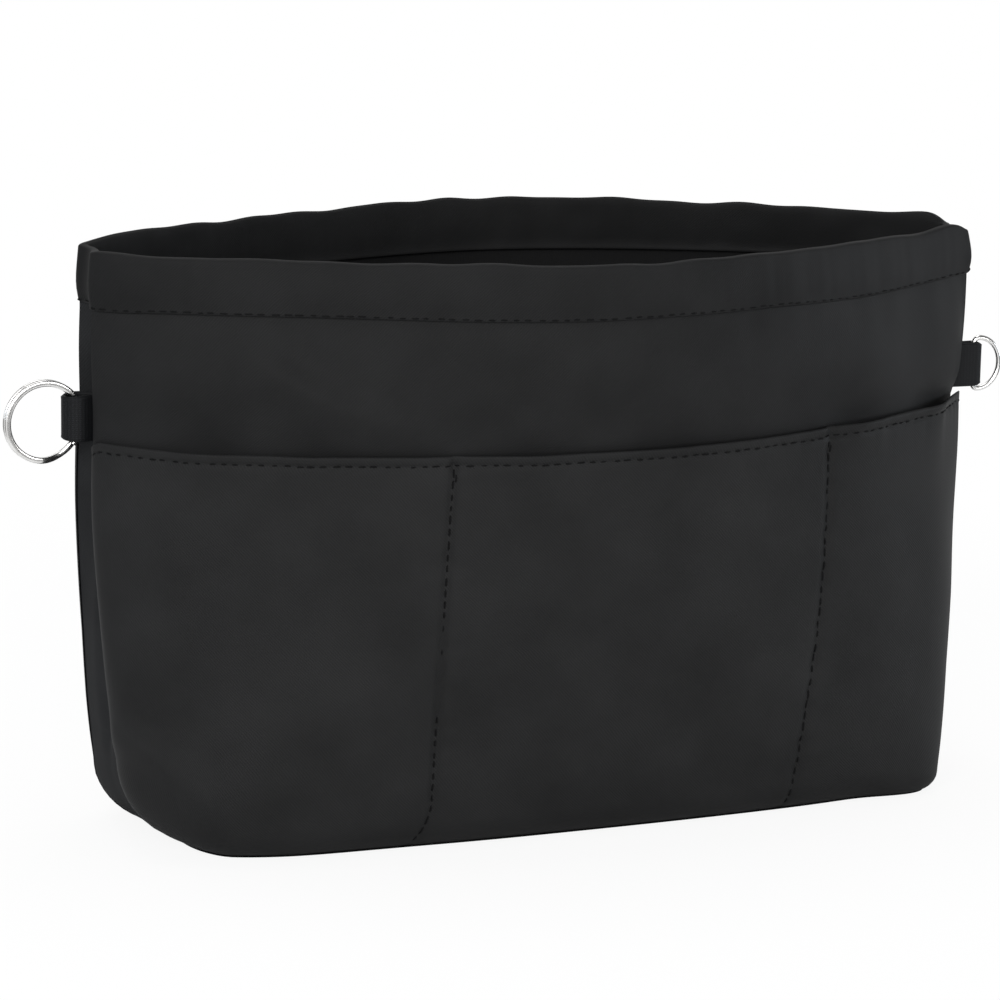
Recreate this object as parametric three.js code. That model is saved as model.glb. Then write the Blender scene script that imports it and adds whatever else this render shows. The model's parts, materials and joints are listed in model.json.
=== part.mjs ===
// Purse organizer insert: a padded fabric box with an open, lens-shaped mouth.
// Millimetres, +Z up, +X to the right, front at -Y, origin in the middle of the underside.
import * as THREE from 'three';

// Outline at the base, at the waist and at the mouth; the waist is a share of the height
const HEIGHT = 160;
const WAIST = 0.5;
const BASE_LENGTH = 233.5;
const WAIST_LENGTH = 251;
const MOUTH_LENGTH = 251;
const BASE_DEPTH = 85;
const WAIST_DEPTH = 107;
const MOUTH_DEPTH = 117;
const BASE_GUSSET = 32;
const WAIST_GUSSET = 20;
const MOUTH_GUSSET = 12;

// How a long wall bows between its two seams: a high power is a flat wall with tight ends
const BASE_FLATNESS = 3.1;
const MOUTH_FLATNESS = 1.55;
const BASE_CORNER_POWER = 0.3;
const BACK_CORNER_POWER = 0.8;
const MOUTH_CORNER_POWER = 1;
const CORNER_EASE = 0.6;

// Inward fold of a gusset, which deepens between two shares of the height, and the rounding of the lower edge
const GUSSET_FOLD = 6.5;
const FOLD_START = 0.25;
const FOLD_END = 0.8;
const EDGE_RADIUS = 11;
const SHELL_TUCK_DEGREES = 75;
const FOAM_TUCK_DEGREES = 50;

// Layers of a wall, from the outside in
const SHELL = 0.6;
const FOAM = 2.4;
const LINING = 0.5;
const POCKET_CLOTH = 0.6;
const BASE_BOARD = 1.8;
const BOARD_MARGIN = 3;
const CLEARANCE = 0.3;
const SEAM_GAP = 0.4;

// Pockets and the casing band round the mouth
const POCKET_HEIGHT = 111;
const INNER_POCKET_HEIGHT = 95;
const BAND_WIDTH = 14.5;
const BAND_CLOTH = 0.9;
const BAND_CROWN = 2;
// Rise above the padding over which the inner layers close up on the shell
const BAND_CLOSING = 4;

// Web tabs: heights from the floor to the middle of the webbing, and reaches from the sewn root to the loop
const KEY_TAB_HEIGHT = 116;
const D_TAB_HEIGHT = 117.2;
const KEY_TAB_REACH = 6.8;
const D_TAB_REACH = 11.6;
const WEB_WIDTH = 12.7;
const WEB_THICKNESS = 1.2;
const TAB_SEWN = 2.2;
const KEY_LOOP_RADIUS = 2.8;

// Split key ring of flat wire: two turns that step over each other at the split
const RING_DIAMETER = 22.5;
const RING_WIRE_WIDTH = 1.7;
const RING_WIRE_THICKNESS = 1;
const RING_WIRE_POWER = 0.5;
const RING_TURN_GAP = 0.45;
const RING_STEP_DEGREES = 40;
const RING_SPLIT_DEGREES = 100;
const RING_REST_DEGREES = 6.5;
const RING_DROP = 0.6;
const LEAST_TURN_GAP = 0.4;

// D-ring of round wire, butted behind the webbing
const D_WIRE = 1.5;
const D_SIDE_CLEARANCE = 0.25;
const D_BOW = 6.4;
const D_BEND = 1.6;
const D_BUTT_GAP = 0.4;

// Facets
const LONG_WALL_STEPS = 20;
const GUSSET_STEPS = 4;
const WALL_ROWS = 6;
const TUCK_STEP_DEGREES = 25;
const BAND_CROWN_STEPS = 6;
const RING_STEPS_PER_TURN = 28;
const D_ARC_STEPS = 12;
const D_BEND_STEPS = 4;
const WIRE_SIDES = 8;
const ARC_SEGMENTS = 6;
// Stretch of wall beside a seam over which its layers lean into the mitre
const MITRE_BLEND = 16;

// Depths below the outer face where each layer starts and ends
const foamOuter = SHELL + CLEARANCE;
const foamInner = foamOuter + FOAM;
const liningOuter = foamInner + CLEARANCE;
const liningInner = liningOuter + LINING;
const innerPocketOuter = liningInner + CLEARANCE;
const innerPocketInner = innerPocketOuter + POCKET_CLOTH;
const bandInner = liningInner + CLEARANCE + BAND_CLOTH;
const bandCrownInner = bandInner - FOAM - CLEARANCE;
const bandOuter = -CLEARANCE - BAND_CLOTH;
const bandEdge = HEIGHT - BAND_WIDTH;
const bandClosed = bandEdge + BAND_CLOSING;
const foamTop = bandEdge - CLEARANCE;
const wallTop = HEIGHT - BAND_CROWN - CLEARANCE;
const boardBottom = SHELL + CLEARANCE;
const baseLiningBottom = boardBottom + BASE_BOARD + CLEARANCE;
const baseLiningTop = baseLiningBottom + LINING;
const shellTuck = THREE.MathUtils.degToRad(SHELL_TUCK_DEGREES);
const foamTuck = THREE.MathUtils.degToRad(FOAM_TUCK_DEGREES);
const tuckStep = THREE.MathUtils.degToRad(TUCK_STEP_DEGREES);
const liningTuckSine = (EDGE_RADIUS - baseLiningTop - CLEARANCE) / (EDGE_RADIUS - liningOuter);
const liningTuck = Math.asin(Math.min(liningTuckSine, Math.sin(shellTuck)));
const baseInset = EDGE_RADIUS - (EDGE_RADIUS - SHELL) * Math.cos(shellTuck) + CLEARANCE;

const fabric = { color: 0x2a2b2c, roughness: 0.62, metalness: 0 };
const gussetFabric = { color: 0x303336, roughness: 0.6, metalness: 0 };
const liningFabric = { color: 0x1b1b1c, roughness: 0.7, metalness: 0 };
const webbing = { color: 0x222426, roughness: 0.75, metalness: 0 };
const foam = { color: 0xd8d6d0, roughness: 0.95, metalness: 0 };
const board = { color: 0x77736b, roughness: 0.9, metalness: 0 };
const nickel = { color: 0xc9cacb, roughness: 0.22, metalness: 1 };

const organizer = new THREE.Group();

function addPiece(name, geometry, finish, parent = organizer) {
  const mesh = new THREE.Mesh(geometry, new THREE.MeshStandardMaterial(finish));
  mesh.name = name;
  parent.add(mesh);
  return mesh;
}

// A parabola through the values at the base, the waist and the mouth
function throughWaist(z, atBase, atWaist, atMouth) {
  const t = z / HEIGHT;
  const base = ((1 - t) * (WAIST - t)) / WAIST;
  const waist = (t * (1 - t)) / (WAIST * (1 - WAIST));
  const mouth = (t * (t - WAIST)) / (1 - WAIST);
  return atBase * base + atWaist * waist + atMouth * mouth;
}

function outlineAt(z) {
  const t = z / HEIGHT;
  return {
    halfLength: throughWaist(z, BASE_LENGTH, WAIST_LENGTH, MOUTH_LENGTH) / 2,
    halfDepth: throughWaist(z, BASE_DEPTH, WAIST_DEPTH, MOUTH_DEPTH) / 2,
    halfGusset: throughWaist(z, BASE_GUSSET, WAIST_GUSSET, MOUTH_GUSSET) / 2,
    fold: GUSSET_FOLD * THREE.MathUtils.smoothstep(t, FOLD_START, FOLD_END),
    flatness: THREE.MathUtils.lerp(BASE_FLATNESS, MOUTH_FLATNESS, t),
    frontPower: THREE.MathUtils.lerp(BASE_CORNER_POWER, MOUTH_CORNER_POWER, t ** CORNER_EASE),
    backPower: THREE.MathUtils.lerp(BACK_CORNER_POWER, MOUTH_CORNER_POWER, t ** CORNER_EASE),
  };
}

// Each wall runs anticlockwise seen from above, so that the inside is on its left
function longWall(z, side) {
  const { halfLength, halfDepth, halfGusset, flatness, frontPower, backPower } = outlineAt(z);
  const cornerPower = side < 0 ? frontPower : backPower;
  const points = [];
  for (let i = 0; i <= LONG_WALL_STEPS; i++) {
    const along = Math.sin(Math.PI * (i / LONG_WALL_STEPS - 0.5));
    const bow = Math.pow(Math.max(1 - Math.pow(Math.abs(along), flatness), 0), cornerPower);
    const across = halfGusset + (halfDepth - halfGusset) * bow;
    points.push(new THREE.Vector2(-side * halfLength * along, side * across));
  }
  return points;
}

function gussetWall(z, side) {
  const { halfLength, halfGusset, fold } = outlineAt(z);
  const points = [];
  for (let i = 0; i <= GUSSET_STEPS; i++) {
    const across = (2 * i) / GUSSET_STEPS - 1;
    const out = halfLength - fold * (1 - across * across);
    points.push(new THREE.Vector2(side * out, side * halfGusset * across));
  }
  return points;
}

const walls = {
  front: (z) => longWall(z, -1),
  right: (z) => gussetWall(z, 1),
  back: (z) => longWall(z, 1),
  left: (z) => gussetWall(z, -1),
};
const wallOrder = Object.keys(walls);

const direction = (from, to) => to.clone().sub(from).normalize();

// Tangent of half the angle that the outline turns through between two walls
function halfTurn(arriving, leaving) {
  const turn = Math.atan2(arriving.cross(leaving), arriving.dot(leaving));
  return Math.tan(turn / 2);
}

// A wall's outline moved inwards by depth, with its two ends on the mitre lines of the seams
function wallAtDepth(name, z, depth) {
  const place = wallOrder.indexOf(name);
  const points = walls[name](z);
  const before = walls[wallOrder[(place + wallOrder.length - 1) % wallOrder.length]](z);
  const after = walls[wallOrder[(place + 1) % wallOrder.length]](z);
  const last = points.length - 1;
  const startTurn = halfTurn(direction(before.at(-2), before.at(-1)), direction(points[0], points[1]));
  const endTurn = halfTurn(direction(points[last - 1], points[last]), direction(after[0], after[1]));
  const run = [0];
  for (let i = 1; i <= last; i++) {
    run.push(run[i - 1] + points[i].distanceTo(points[i - 1]));
  }
  return points.map((point, i) => {
    const tangent = direction(points[Math.max(i - 1, 0)], points[Math.min(i + 1, last)]);
    const inward = new THREE.Vector2(-tangent.y, tangent.x);
    const nearStart = Math.max(1 - run[i] / MITRE_BLEND, 0);
    const nearEnd = Math.max(1 - (run[last] - run[i]) / MITRE_BLEND, 0);
    const lean = startTurn * nearStart - endTurn * nearEnd;
    return point.clone().addScaledVector(inward, depth).addScaledVector(tangent, lean * depth);
  });
}

// Rows up a wall, shared by its layers: angles round the lower edge first, then heights
function wallRows(tuck, top) {
  const rows = [];
  if (tuck > 0) rows.push({ angle: tuck });
  for (let i = Math.ceil(tuck / tuckStep) - 1; i > 0; i--) {
    rows.push({ angle: tuckStep * i });
  }
  for (let i = 0; i <= WALL_ROWS; i++) {
    const z = THREE.MathUtils.lerp(EDGE_RADIUS, bandEdge, i / WALL_ROWS);
    if (z < top) rows.push({ z });
  }
  if (bandClosed < top) rows.push({ z: bandClosed });
  rows.push({ z: top });
  return rows;
}

// Depth of a layer at a height: the layers behind the padding close up above it
function closedDepth(z, depth) {
  const behind = THREE.MathUtils.clamp((depth - foamOuter) / FOAM, 0, 1);
  return depth - (FOAM + CLEARANCE) * behind * THREE.MathUtils.smoothstep(z, bandEdge, bandClosed);
}

function rowAtDepth(name, row, depth) {
  if (row.angle === undefined) {
    const points = wallAtDepth(name, row.z, closedDepth(row.z, depth));
    return points.map((p) => new THREE.Vector3(p.x, p.y, row.z));
  }
  const radius = EDGE_RADIUS - depth;
  const inset = EDGE_RADIUS - radius * Math.cos(row.angle);
  const z = EDGE_RADIUS - radius * Math.sin(row.angle);
  return wallAtDepth(name, EDGE_RADIUS, inset).map((p) => new THREE.Vector3(p.x, p.y, z));
}

// Draw both ends of a row back from the seams
function trimmed(points) {
  const ends = points.map((p) => p.clone());
  const last = ends.length - 1;
  ends[0].addScaledVector(points[1].clone().sub(points[0]).normalize(), SEAM_GAP / 2);
  ends[last].addScaledVector(points[last - 1].clone().sub(points[last]).normalize(), SEAM_GAP / 2);
  return ends;
}

function solidFrom(vertices, triangles) {
  const geometry = new THREE.BufferGeometry();
  const flat = vertices.flatMap((p) => [p.x, p.y, p.z]);
  geometry.setAttribute('position', new THREE.Float32BufferAttribute(flat, 3));
  geometry.setIndex(triangles);
  geometry.computeVertexNormals();
  return geometry;
}

// A layer of a wall: an outer and an inner grid joined round their borders
function wallLayer(name, rows, outerDepth, innerDepth) {
  const outer = rows.map((row) => trimmed(rowAtDepth(name, row, outerDepth)));
  const inner = rows.map((row) => trimmed(rowAtDepth(name, row, innerDepth)));
  const columns = outer[0].length;
  const innerStart = rows.length * columns;
  const at = (r, c) => r * columns + c;
  const triangles = [];
  for (let r = 0; r + 1 < rows.length; r++) {
    for (let c = 0; c + 1 < columns; c++) {
      const quad = [at(r, c), at(r, c + 1), at(r + 1, c + 1), at(r + 1, c)];
      triangles.push(quad[0], quad[1], quad[2], quad[0], quad[2], quad[3]);
      const [i, j, k, l] = quad.map((index) => index + innerStart);
      triangles.push(i, k, j, i, l, k);
    }
  }
  const border = [];
  for (let c = 0; c + 1 < columns; c++) border.push(at(0, c));
  for (let r = 0; r + 1 < rows.length; r++) border.push(at(r, columns - 1));
  for (let c = columns - 1; c > 0; c--) border.push(at(rows.length - 1, c));
  for (let r = rows.length - 1; r > 0; r--) border.push(at(r, 0));
  border.forEach((from, i) => {
    const to = border[(i + 1) % border.length];
    triangles.push(from, from + innerStart, to + innerStart, from, to + innerStart, to);
  });
  return solidFrom([...outer.flat(), ...inner.flat()], triangles);
}

// The whole outline as one closed loop of points, at a depth below the outer face
function loopAtDepth(z, depth) {
  return wallOrder.flatMap((name) => wallAtDepth(name, z, depth).slice(0, -1));
}

// A flat layer of the base, drawn in from its edge by a margin
function baseLayer(bottom, top, margin = 0) {
  const shape = new THREE.Shape(loopAtDepth(EDGE_RADIUS, baseInset + margin));
  const geometry = new THREE.ExtrudeGeometry(shape, { depth: top - bottom, bevelEnabled: false });
  return geometry.translate(0, 0, bottom);
}

// The casing band: a folded strip that straddles the top of the wall all the way round
function rimBand() {
  const middle = (bandOuter + bandCrownInner) / 2;
  const half = (bandCrownInner - bandOuter) / 2;
  const profile = [{ depth: bandOuter, z: bandEdge }, { depth: bandOuter, z: bandClosed }];
  for (let i = 0; i <= BAND_CROWN_STEPS; i++) {
    const angle = (Math.PI * i) / BAND_CROWN_STEPS;
    profile.push({
      depth: middle - half * Math.cos(angle),
      z: HEIGHT - BAND_CROWN + BAND_CROWN * Math.sin(angle),
    });
  }
  profile.push({ depth: bandCrownInner, z: bandClosed });
  profile.push({ depth: bandInner, z: bandEdge });
  profile.push({ depth: bandInner - BAND_CLOTH, z: bandEdge });
  profile.push({ depth: bandCrownInner - BAND_CLOTH, z: bandClosed });
  profile.push({ depth: bandCrownInner - BAND_CLOTH, z: wallTop + CLEARANCE });
  profile.push({ depth: bandOuter + BAND_CLOTH, z: wallTop + CLEARANCE });
  profile.push({ depth: bandOuter + BAND_CLOTH, z: bandClosed });
  profile.push({ depth: bandOuter + BAND_CLOTH, z: bandEdge });
  const loops = profile.map(({ depth, z }) => {
    return loopAtDepth(z, depth).map((p) => new THREE.Vector3(p.x, p.y, z));
  });
  const columns = loops[0].length;
  const triangles = [];
  loops.forEach((loop, r) => {
    const next = (r + 1) % loops.length;
    for (let c = 0; c < columns; c++) {
      const d = (c + 1) % columns;
      const quad = [r * columns + c, r * columns + d, next * columns + d, next * columns + c];
      triangles.push(quad[0], quad[1], quad[2], quad[0], quad[2], quad[3]);
    }
  });
  return solidFrom(loops.flat(), triangles);
}

// Outline round two circles on the X axis, the loop's further out than the root's
function teardrop(shape, rootX, rootRadius, loopX, loopRadius) {
  const contact = Math.acos((rootRadius - loopRadius) / (loopX - rootX));
  shape.absarc(loopX, 0, loopRadius, -contact, contact, false);
  shape.absarc(rootX, 0, rootRadius, contact, 2 * Math.PI - contact, false);
  shape.closePath();
  return shape;
}

// A strip of webbing folded into a loop and sewn flat at its root, which is at the origin
function webTab(loopRadius, reach) {
  const outline = teardrop(new THREE.Shape(), 0, WEB_THICKNESS, reach, loopRadius + WEB_THICKNESS);
  const sewnRadius = (loopRadius * TAB_SEWN) / reach;
  outline.holes.push(teardrop(new THREE.Path(), TAB_SEWN, sewnRadius, reach, loopRadius));
  const options = { depth: WEB_WIDTH, bevelEnabled: false, curveSegments: ARC_SEGMENTS };
  return new THREE.ExtrudeGeometry(outline, options).translate(0, 0, -WEB_WIDTH / 2);
}

// A closed solid along a path in the XZ plane, with its section given as outward and sideways offsets
function wire(path, section) {
  const vertices = [];
  const triangles = [];
  const last = path.length - 1;
  path.forEach((point, i) => {
    const ahead = path[Math.min(i + 1, last)].clone().sub(path[Math.max(i - 1, 0)]).setY(0).normalize();
    const outward = new THREE.Vector3(ahead.z, 0, -ahead.x);
    section.forEach(({ out, side }) => {
      vertices.push(point.clone().addScaledVector(outward, out).add(new THREE.Vector3(0, side, 0)));
    });
  });
  const sides = section.length;
  for (let i = 0; i < last; i++) {
    for (let s = 0; s < sides; s++) {
      const t = (s + 1) % sides;
      const quad = [i * sides + s, i * sides + t, (i + 1) * sides + t, (i + 1) * sides + s];
      triangles.push(quad[0], quad[1], quad[2], quad[0], quad[2], quad[3]);
    }
  }
  for (let s = 1; s + 1 < sides; s++) {
    triangles.push(0, s + 1, s);
    triangles.push(last * sides, last * sides + s, last * sides + s + 1);
  }
  return solidFrom(vertices, triangles);
}

// Middle line of the split ring round its own centre, in the XZ plane
const ringPitch = RING_WIRE_THICKNESS + RING_TURN_GAP;
const ringRadius = (RING_DIAMETER - RING_WIRE_WIDTH) / 2;

function ringPath() {
  const step = THREE.MathUtils.degToRad(RING_STEP_DEGREES);
  const split = THREE.MathUtils.degToRad(RING_SPLIT_DEGREES);
  const sweep = 4 * Math.PI - 2 * step;
  const count = Math.round((sweep / (2 * Math.PI)) * RING_STEPS_PER_TURN);
  const points = [];
  for (let i = 0; i <= count; i++) {
    const turned = (sweep * i) / count;
    const climb = THREE.MathUtils.smoothstep(turned, (sweep - step) / 2, (sweep + step) / 2);
    const angle = -split + step + turned;
    const side = (climb - 0.5) * ringPitch;
    points.push(new THREE.Vector3(ringRadius * Math.cos(angle), side, ringRadius * Math.sin(angle)));
  }
  return points;
}

// Least gap between one turn of the ring and the next
function leastTurnGap(path) {
  let least = Infinity;
  for (let i = 0; i < path.length; i++) {
    for (let j = i + Math.round(RING_STEPS_PER_TURN / 2); j < path.length; j++) {
      const apart = Math.hypot(path[i].x - path[j].x, path[i].z - path[j].z);
      const sideways = Math.abs(path[i].y - path[j].y) - RING_WIRE_THICKNESS;
      const around = apart - RING_WIRE_WIDTH;
      least = Math.min(least, Math.max(sideways, around));
    }
  }
  return least;
}

// Section of a wire: round where the power is 1, and nearer a rectangle below that
function wireSection(width, thickness, power) {
  const bulge = (value) => Math.sign(value) * (Math.abs(value) / Math.cos(Math.PI / WIRE_SIDES)) ** power;
  const section = [];
  for (let i = 0; i < WIRE_SIDES; i++) {
    const angle = (2 * Math.PI * (i + 0.5)) / WIRE_SIDES;
    section.push({
      out: (width / 2) * bulge(Math.cos(angle)),
      side: (thickness / 2) * bulge(Math.sin(angle)),
    });
  }
  return section;
}

// Middle line of the D-ring: the straight bar lies on the Z axis and the bow towards +X
function dRingPath() {
  const bow = WEB_WIDTH / 2 + D_SIDE_CLEARANCE + D_WIRE / 2;
  const points = [new THREE.Vector3(0, 0, -D_BUTT_GAP / 2)];
  const arc = (z, depth, rise, from, to, steps) => {
    for (let i = 0; i <= steps; i++) {
      const angle = THREE.MathUtils.lerp(from, to, i / steps);
      points.push(new THREE.Vector3(D_BEND + depth * Math.cos(angle), 0, z + rise * Math.sin(angle)));
    }
  };
  arc(D_BEND - bow, D_BEND, D_BEND, Math.PI, 1.5 * Math.PI, D_BEND_STEPS);
  arc(0, D_BOW, bow, -Math.PI / 2, Math.PI / 2, D_ARC_STEPS);
  arc(bow - D_BEND, D_BEND, D_BEND, Math.PI / 2, Math.PI, D_BEND_STEPS);
  points.push(new THREE.Vector3(0, 0, D_BUTT_GAP / 2));
  return points;
}

// Walls, layer by layer
for (const name of ['front', 'back']) {
  addPiece(`${name}_panel`, wallLayer(name, wallRows(shellTuck, wallTop), 0, SHELL), fabric);
  addPiece(`${name}_foam`, wallLayer(name, wallRows(foamTuck, foamTop), foamOuter, foamInner), foam);
  const lining = wallLayer(name, wallRows(liningTuck, wallTop), liningOuter, liningInner);
  addPiece(`${name}_lining`, lining, liningFabric);
  const pocketOuter = -CLEARANCE - POCKET_CLOTH;
  const pocket = wallLayer(name, wallRows(foamTuck, POCKET_HEIGHT), pocketOuter, -CLEARANCE);
  addPiece(`${name}_pocket_panel`, pocket, fabric);
  const innerPocket = wallLayer(name, wallRows(0, INNER_POCKET_HEIGHT), innerPocketOuter, innerPocketInner);
  addPiece(`${name}_inner_pocket`, innerPocket, liningFabric);
}
for (const name of ['left', 'right']) {
  addPiece(`${name}_gusset`, wallLayer(name, wallRows(shellTuck, wallTop), 0, SHELL), gussetFabric);
  addPiece(`${name}_gusset_foam`, wallLayer(name, wallRows(foamTuck, foamTop), foamOuter, foamInner), foam);
  const lining = wallLayer(name, wallRows(liningTuck, wallTop), liningOuter, liningInner);
  addPiece(`${name}_gusset_lining`, lining, liningFabric);
}
addPiece('base_panel', baseLayer(0, SHELL), fabric);
addPiece('base_board', baseLayer(boardBottom, boardBottom + BASE_BOARD, BOARD_MARGIN), board);
addPiece('base_lining', baseLayer(baseLiningBottom, baseLiningTop), liningFabric);
addPiece('rim_band', rimBand(), fabric);

// Tabs stand on the fold line of the gussets, and the rings hang in their loops
const foldLineAt = (z) => outlineAt(z).halfLength - outlineAt(z).fold;

function tabGroup(height, turn) {
  const seat = Math.max(foldLineAt(height - WEB_WIDTH / 2), foldLineAt(height + WEB_WIDTH / 2));
  const root = seat + CLEARANCE + WEB_THICKNESS;
  const group = new THREE.Group();
  group.rotation.z = turn;
  group.position.set(root * Math.cos(turn), root * Math.sin(turn), height);
  organizer.add(group);
  return group;
}

const leftTab = tabGroup(KEY_TAB_HEIGHT, Math.PI);
addPiece('left_web_tab', webTab(KEY_LOOP_RADIUS, KEY_TAB_REACH), webbing, leftTab);
const keyRingPath = ringPath();
const turnGap = leastTurnGap(keyRingPath);
console.log(`least gap between the turns of the split ring: ${turnGap.toFixed(3)} mm`);
if (turnGap <= LEAST_TURN_GAP) throw new Error('the turns of the split ring are too close');
const keyRingSection = wireSection(RING_WIRE_WIDTH, RING_WIRE_THICKNESS, RING_WIRE_POWER);
const keyRing = addPiece('split_key_ring', wire(keyRingPath, keyRingSection), nickel, leftTab);
const ringRest = THREE.MathUtils.degToRad(RING_REST_DEGREES);
const ringSag = ringRadius - Math.sqrt(ringRadius ** 2 - (WEB_WIDTH / 2 + RING_DROP) ** 2);
const ringCentre = ringRadius - ringSag / 2;
keyRing.rotation.z = ringRest;
const ringReach = KEY_TAB_REACH + ringCentre * Math.cos(ringRest);
keyRing.position.set(ringReach, ringCentre * Math.sin(ringRest), -RING_DROP);

const rightTab = tabGroup(D_TAB_HEIGHT, 0);
addPiece('right_web_tab', webTab(D_WIRE / 2 + CLEARANCE, D_TAB_REACH), webbing, rightTab);
const dRing = addPiece('d_ring', wire(dRingPath(), wireSection(D_WIRE, D_WIRE, 1)), nickel, rightTab);
dRing.position.set(D_TAB_REACH, 0, 0);

export default organizer;
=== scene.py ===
"""Looks of the purse organizer insert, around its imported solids.

Sizes are in millimetres and become metres when a mesh is made. The frame is the part's own:
origin in the middle of the underside, +X to the right, front at -Y, +Z up.
"""

import json
import math

import bpy
import numpy as np
from mathutils import Matrix, Vector


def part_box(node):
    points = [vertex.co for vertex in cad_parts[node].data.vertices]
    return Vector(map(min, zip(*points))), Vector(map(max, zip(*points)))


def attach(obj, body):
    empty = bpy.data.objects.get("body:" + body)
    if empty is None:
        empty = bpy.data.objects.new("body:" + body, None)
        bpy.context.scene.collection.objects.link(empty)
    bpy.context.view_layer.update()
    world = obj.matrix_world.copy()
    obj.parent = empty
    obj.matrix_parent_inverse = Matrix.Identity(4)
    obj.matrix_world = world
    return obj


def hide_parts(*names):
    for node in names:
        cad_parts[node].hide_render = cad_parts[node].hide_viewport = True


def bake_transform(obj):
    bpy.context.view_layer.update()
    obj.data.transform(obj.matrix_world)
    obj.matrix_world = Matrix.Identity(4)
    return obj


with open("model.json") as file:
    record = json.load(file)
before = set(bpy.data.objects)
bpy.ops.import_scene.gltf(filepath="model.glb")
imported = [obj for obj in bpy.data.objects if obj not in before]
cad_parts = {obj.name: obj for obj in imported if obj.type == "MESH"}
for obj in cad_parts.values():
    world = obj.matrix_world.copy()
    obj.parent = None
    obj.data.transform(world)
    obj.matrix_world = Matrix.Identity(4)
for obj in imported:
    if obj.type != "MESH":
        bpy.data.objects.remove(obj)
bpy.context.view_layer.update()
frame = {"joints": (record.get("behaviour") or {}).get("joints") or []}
MM = 0.001

# Walls in their order round the bag, anticlockwise seen from above
WALLS = ("front", "right", "back", "left")
LONG_WALLS = ("front", "back")
GUSSET_WALLS = ("left", "right")

# Outline of the walls at the base, the waist and the mouth
HEIGHT = 160.0
WAIST = 0.5
LENGTHS = (233.0, 251.4, 253.0)
DEPTHS = (82.4, 104.6, 116.0)
GUSSETS = (33.4, 17.8, 12.0)
# Fold of the gussets, the shares of the height where it deepens and where it eases, and by how much
GUSSET_FOLD = 6.5
FOLD_HEIGHTS = (0.25, 0.8)
EASE_HEIGHTS = (0.8, 0.94)
FOLD_EASED = 0.7
# Flatness of the long walls at the base, their corner powers at the front's two ends and at the back, and how
# soon these ease upwards
BASE_FLATNESS = 3.1
FRONT_CORNER_POWERS = (0.3, 0.2)
BACK_CORNER_POWER = 0.8
CORNER_EASE = 0.6
# How the mouth bows on its left and right halves, as flatness and corner power
MOUTH_BOW = {"front": ((1.2, 0.8), (1.72, 1.12)), "back": ((1.55, 0.86), (1.55, 0.98))}
# How far the ends draw in above the pockets, and at which share of the height, with its half width
PINCH = 0.8
PINCH_AT = (0.72, 0.09)
# Shares of the height, and how far the whole outline sways to the right there
SWAY = ((0, 0.22, 0.34, 0.57, 0.67, 0.8, 0.9, 1), (-1.6, -1.3, -0.75, -0.45, -0.2, 0.3, 0.6, 0.2))
# The front stands less far forward at the lower right, and further forward at the lower left
RIGHT_TAPER = 2.6
LEFT_SWELL = 3.0
# The right end draws in behind the pocket's hem: how far, at which height, and from where along X
RIGHT_TUCK = 2.6
RIGHT_TUCK_AT = (109.5, 5.0)
RIGHT_TUCK_FROM = (106.0, 124.0)
# Rounding of the lower edge: in general, at the left end's back and front, and at the right end
EDGE_RADIUS = 11.0
LEFT_EDGE_RADII = (17.0, 25.0)
RIGHT_EDGE_RADIUS = 4.5
# Height at which an uneven edge has faded out, and how much further a wide edge turns under
EDGE_FADE = 45.0
EDGE_TURN = 0.0049
# Reach of the mitre at a seam, and the step that finds the direction of a wall
MITRE_BLEND = 16.0
PROBE = 0.004

# Layers of a wall as depths below its outer face
SHELL = (0.0, 0.6)
FOAM = (0.9, 3.3)
LINING = (3.6, 4.1)
INNER_POCKET = (4.4, 5.0)
POCKET = (-0.9, -0.3)
SHELL_TUCK = math.radians(75)
FOAM_TUCK = math.radians(50)
LINING_TUCK = math.radians(72)
WALL_TOP = 157.0
SEAM_GAP = 0.2
# The padding thins and ends below the casing band, so the layers close up there
PAD_TOP = 144.5
CLOSING_HEIGHTS = (126.0, 150.0)
CLOSE_UP = 2.6
# Layers of the base as heights, how far they reach past the tucked walls, and the rings that fill them
BASE_CLOTH = (0.0, 0.6)
BASE_BOARD = (0.9, 2.7)
BASE_LINING = (3.0, 3.5)
# The base cloth reaches past the tucked walls so that its near-black edge shows as painted contact shadow
# along the bottom.
BASE_CLOTH_SHADOW_REACH = 1.6
BASE_BOARD_REACH = -1.0
BASE_RINGS = (1.0, 0.97, 0.9, 0.75, 0.5, 0.25)

# Pockets, casing band and stitch lines, as heights
HEM_TOP = 111.2
HEM_STITCH = 108.8
INNER_POCKET_TOP = 95.0
INNER_HEM_STITCH = 92.5
BAND_EDGE = 146.0
BAND_STITCH = 146.6
BAND_TOP = 160.6
BAND_MIDDLE = 152.0
# Depths of the band's outer and inner face and of its rows of stitches, and the shape of its crown
BAND_FACES = (-0.85, 5.0)
BAND_ROWS = (-0.86, 5.0)
CROWN_MIDDLE = 1.7
CROWN_REACH = 2.55
CROWN_POWER = 0.6
CROWN_STEPS = 16
# How far the band stands out at shares of its rise
BAND_PUFF = (
    (0.06, 0.0), (0.12, 0.1), (0.22, 0.3), (0.34, 0.42), (0.48, 0.42), (0.62, 0.32), (0.74, 0.2), (0.84, 0.1),
)
# Columns of the band along long walls and gussets, its evenly spaced points, and rounds of smoothing
BAND_COLUMNS = (230, 34)
BAND_STEPS = 1300
BAND_ROUNDS = 20
# Stitches: how far apart, how long, and how thick and how many-sided their thread is
STITCH_PITCH = 3.3
STITCH_LENGTH = 2.3
DIVIDER_STITCH = 2.8
THREAD = 0.38
INNER_THREAD = 0.22
DIVIDER_THREAD = 0.5
THREAD_SIDES = 6

# Pocket dividers, as places along the wall at the hem and at the bottom, and their drift at the foot
DIVIDERS = {"front": ((-0.319, -0.354), (0.55, 0.56)), "back": ((-0.33, -0.33), (0.33, 0.33))}
DIVIDER_DRIFTS = {"front": (-3.5, -0.6), "back": (0.0, 0.0)}
DRIFT_HEIGHT = 14.0
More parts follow.
